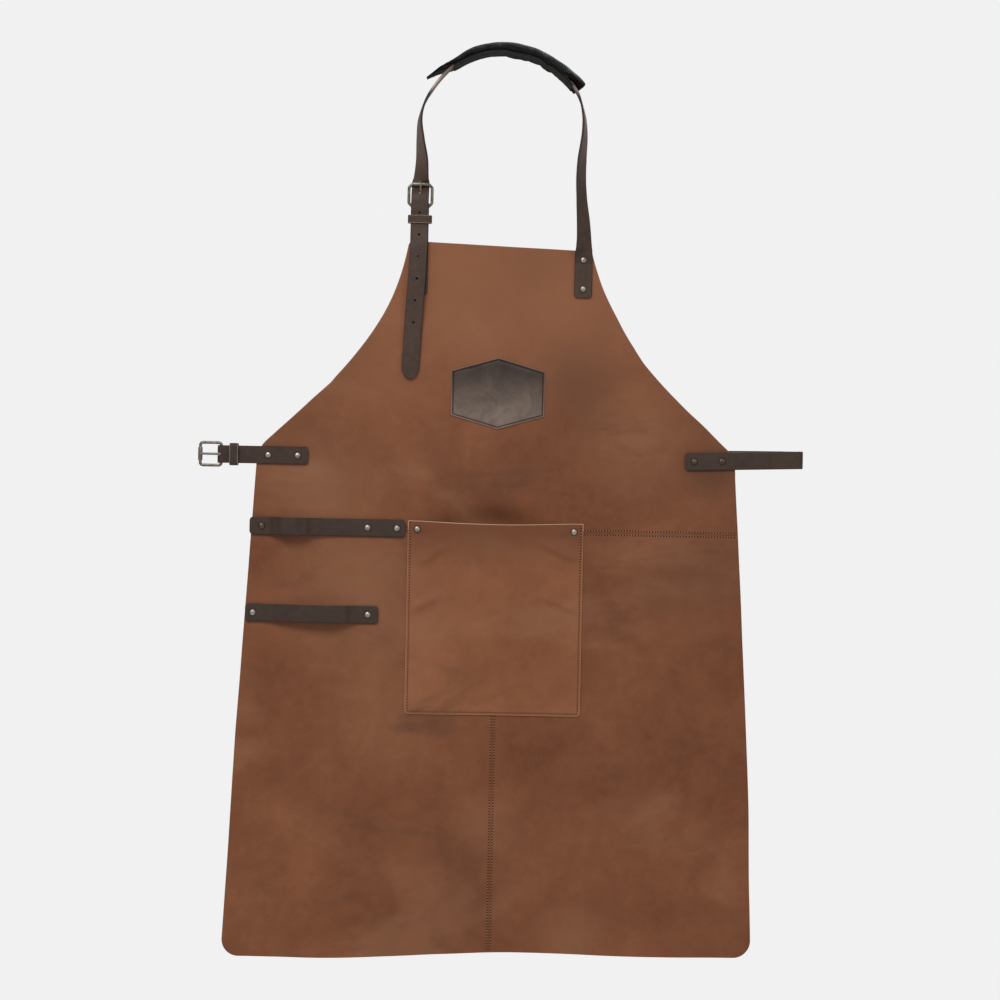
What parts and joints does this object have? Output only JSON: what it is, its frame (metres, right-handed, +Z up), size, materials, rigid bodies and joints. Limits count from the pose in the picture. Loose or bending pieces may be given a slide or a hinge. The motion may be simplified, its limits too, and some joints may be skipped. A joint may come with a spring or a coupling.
{
  "type": "leather apron",
  "caption": "Brown leather work apron hanging by a padded, buckled neck strap, with a front pocket, badge patch, tool loops and waist straps.",
  "frame": {"origin": "underside of the neck pad at the middle of its length, where the hook carries it", "axes": "+Z up; the front of the apron faces -Y; +X to the right as the front is seen"},
  "size_m": [0.6853, 0.056, 1.0426],
  "materials": {
    "apron_leather": "satin pull-up brown leather",
    "badge_leather": "smooth dark leather",
    "strap_leather": "satin dark brown leather",
    "pad_leather": "soft black leather",
    "pad_lining": "crinkled black leather",
    "nickel": "antique nickel"
  },
  "bodies": {
    "neck_loop": {"neck_pad": "pad_leather", "neck_pad_lining": "pad_lining", "neck_strap": "strap_leather", "neck_buckle_strap": "strap_leather", "neck_buckle_frame": "nickel"},
    "apron": {"bib_panel": "apron_leather", "skirt_right_panel": "apron_leather", "skirt_left_panel": "apron_leather", "pocket": "apron_leather", "badge_patch": "badge_leather", "neck_strap_end": "strap_leather", "neck_strap_tail": "strap_leather", "neck_buckle_tab": "strap_leather", "waist_tab_left": "strap_leather", "waist_tab_right": "strap_leather", "tool_strap_upper": "strap_leather", "tool_strap_lower": "strap_leather", "neck_right_rivet_1_cap": "nickel", "neck_right_rivet_1_post": "nickel", "neck_right_rivet_2_cap": "nickel", "neck_right_rivet_2_post": "nickel", "neck_left_rivet_1_cap": "nickel", "neck_left_rivet_1_post": "nickel", "neck_left_rivet_2_cap": "nickel", "neck_left_rivet_2_post": "nickel", "waist_left_rivet_1_cap": "nickel", "waist_left_rivet_1_post": "nickel", "waist_left_rivet_2_cap": "nickel", "waist_left_rivet_2_post": "nickel", "waist_right_rivet_1_cap": "nickel", "waist_right_rivet_1_post": "nickel", "waist_right_rivet_2_cap": "nickel", "waist_right_rivet_2_post": "nickel", "tool_upper_rivet_1_cap": "nickel", "tool_upper_rivet_1_post": "nickel", "tool_upper_rivet_2_cap": "nickel", "tool_upper_rivet_2_post": "nickel", "tool_upper_rivet_3_cap": "nickel", "tool_upper_rivet_3_post": "nickel", "tool_lower_rivet_1_cap": "nickel", "tool_lower_rivet_1_post": "nickel", "tool_lower_rivet_2_cap": "nickel", "tool_lower_rivet_2_post": "nickel", "pocket_rivet_1_cap": "nickel", "pocket_rivet_1_post": "nickel", "pocket_rivet_2_cap": "nickel", "pocket_rivet_2_post": "nickel"},
    "neck_roller": {"neck_buckle_roller": "nickel"},
    "neck_prong": {"neck_buckle_prong": "nickel"},
    "neck_keeper_loop": {"neck_keeper": "strap_leather"},
    "waist_left": {"waist_strap_left": "strap_leather"},
    "waist_frame": {"waist_buckle_frame": "nickel"},
    "waist_prong": {"waist_buckle_prong": "nickel"},
    "waist_roller": {"waist_buckle_roller": "nickel"},
    "waist_keeper_loop": {"waist_keeper": "strap_leather"},
    "waist_outer": {"waist_strap_outer": "strap_leather"},
    "waist_folded": {"waist_strap_folded": "strap_leather"}
  },
  "joints": [
    {"name": "apron_swing", "type": "hinge", "parent": "neck_loop", "child": "apron", "pos_m": [0, -0.0024, -0.207], "axis": [1, 0, 0], "range_deg": [-12, 45]},
    {"name": "neck_roller_spin", "type": "hinge", "parent": "neck_loop", "child": "neck_roller", "pos_m": [-0.0913, 0.0007, -0.152], "axis": [1, 0, 0], "continuous": true},
    {"name": "neck_prong_play", "type": "hinge", "parent": "neck_loop", "child": "neck_prong", "pos_m": [-0.0913, 0.0007, -0.1774], "axis": [1, 0, 0], "range_deg": [0, 5]},
    {"name": "neck_keeper_slide", "type": "slide", "parent": "neck_loop", "child": "neck_keeper_loop", "axis": [0, 0, 1], "range_m": [-0.005, 0.001]},
    {"name": "waist_left_bend", "type": "hinge", "parent": "apron", "child": "waist_left", "pos_m": [-0.277, -0.0024, -0.464], "axis": [0, 0, -1], "range_deg": [-30, 95]},
    {"name": "waist_frame_swing", "type": "hinge", "parent": "waist_left", "child": "waist_frame", "pos_m": [-0.3124, 0.0007, -0.464], "axis": [0, 0, -1], "range_deg": [-20, 60]},
    {"name": "waist_prong_lift", "type": "hinge", "parent": "waist_frame", "child": "waist_prong", "pos_m": [-0.3124, 0.0007, -0.464], "axis": [0, 0, 1], "range_deg": [0, 75]},
    {"name": "waist_roller_spin", "type": "hinge", "parent": "waist_frame", "child": "waist_roller", "pos_m": [-0.3364, 0.0007, -0.464], "axis": [0, 0, 1], "continuous": true},
    {"name": "waist_keeper_slide", "type": "slide", "parent": "waist_left", "child": "waist_keeper_loop", "axis": [1, 0, 0], "range_m": [-0.001, 0.007]},
    {"name": "waist_edge_bend", "type": "hinge", "parent": "apron", "child": "waist_outer", "pos_m": [0.278, -0.0024, -0.46045], "axis": [0, 0, 1], "range_deg": [0, 90]},
    {"name": "waist_fold_open", "type": "hinge", "parent": "waist_outer", "child": "waist_folded", "pos_m": [0.3465, 0.0018, -0.45819], "axis": [0, 0, -1], "range_deg": [0, 180]}
  ],
  "couplings": [
    {"joint": "waist_edge_bend", "follows": "waist_fold_open", "ratio": 0.5}
  ]
}
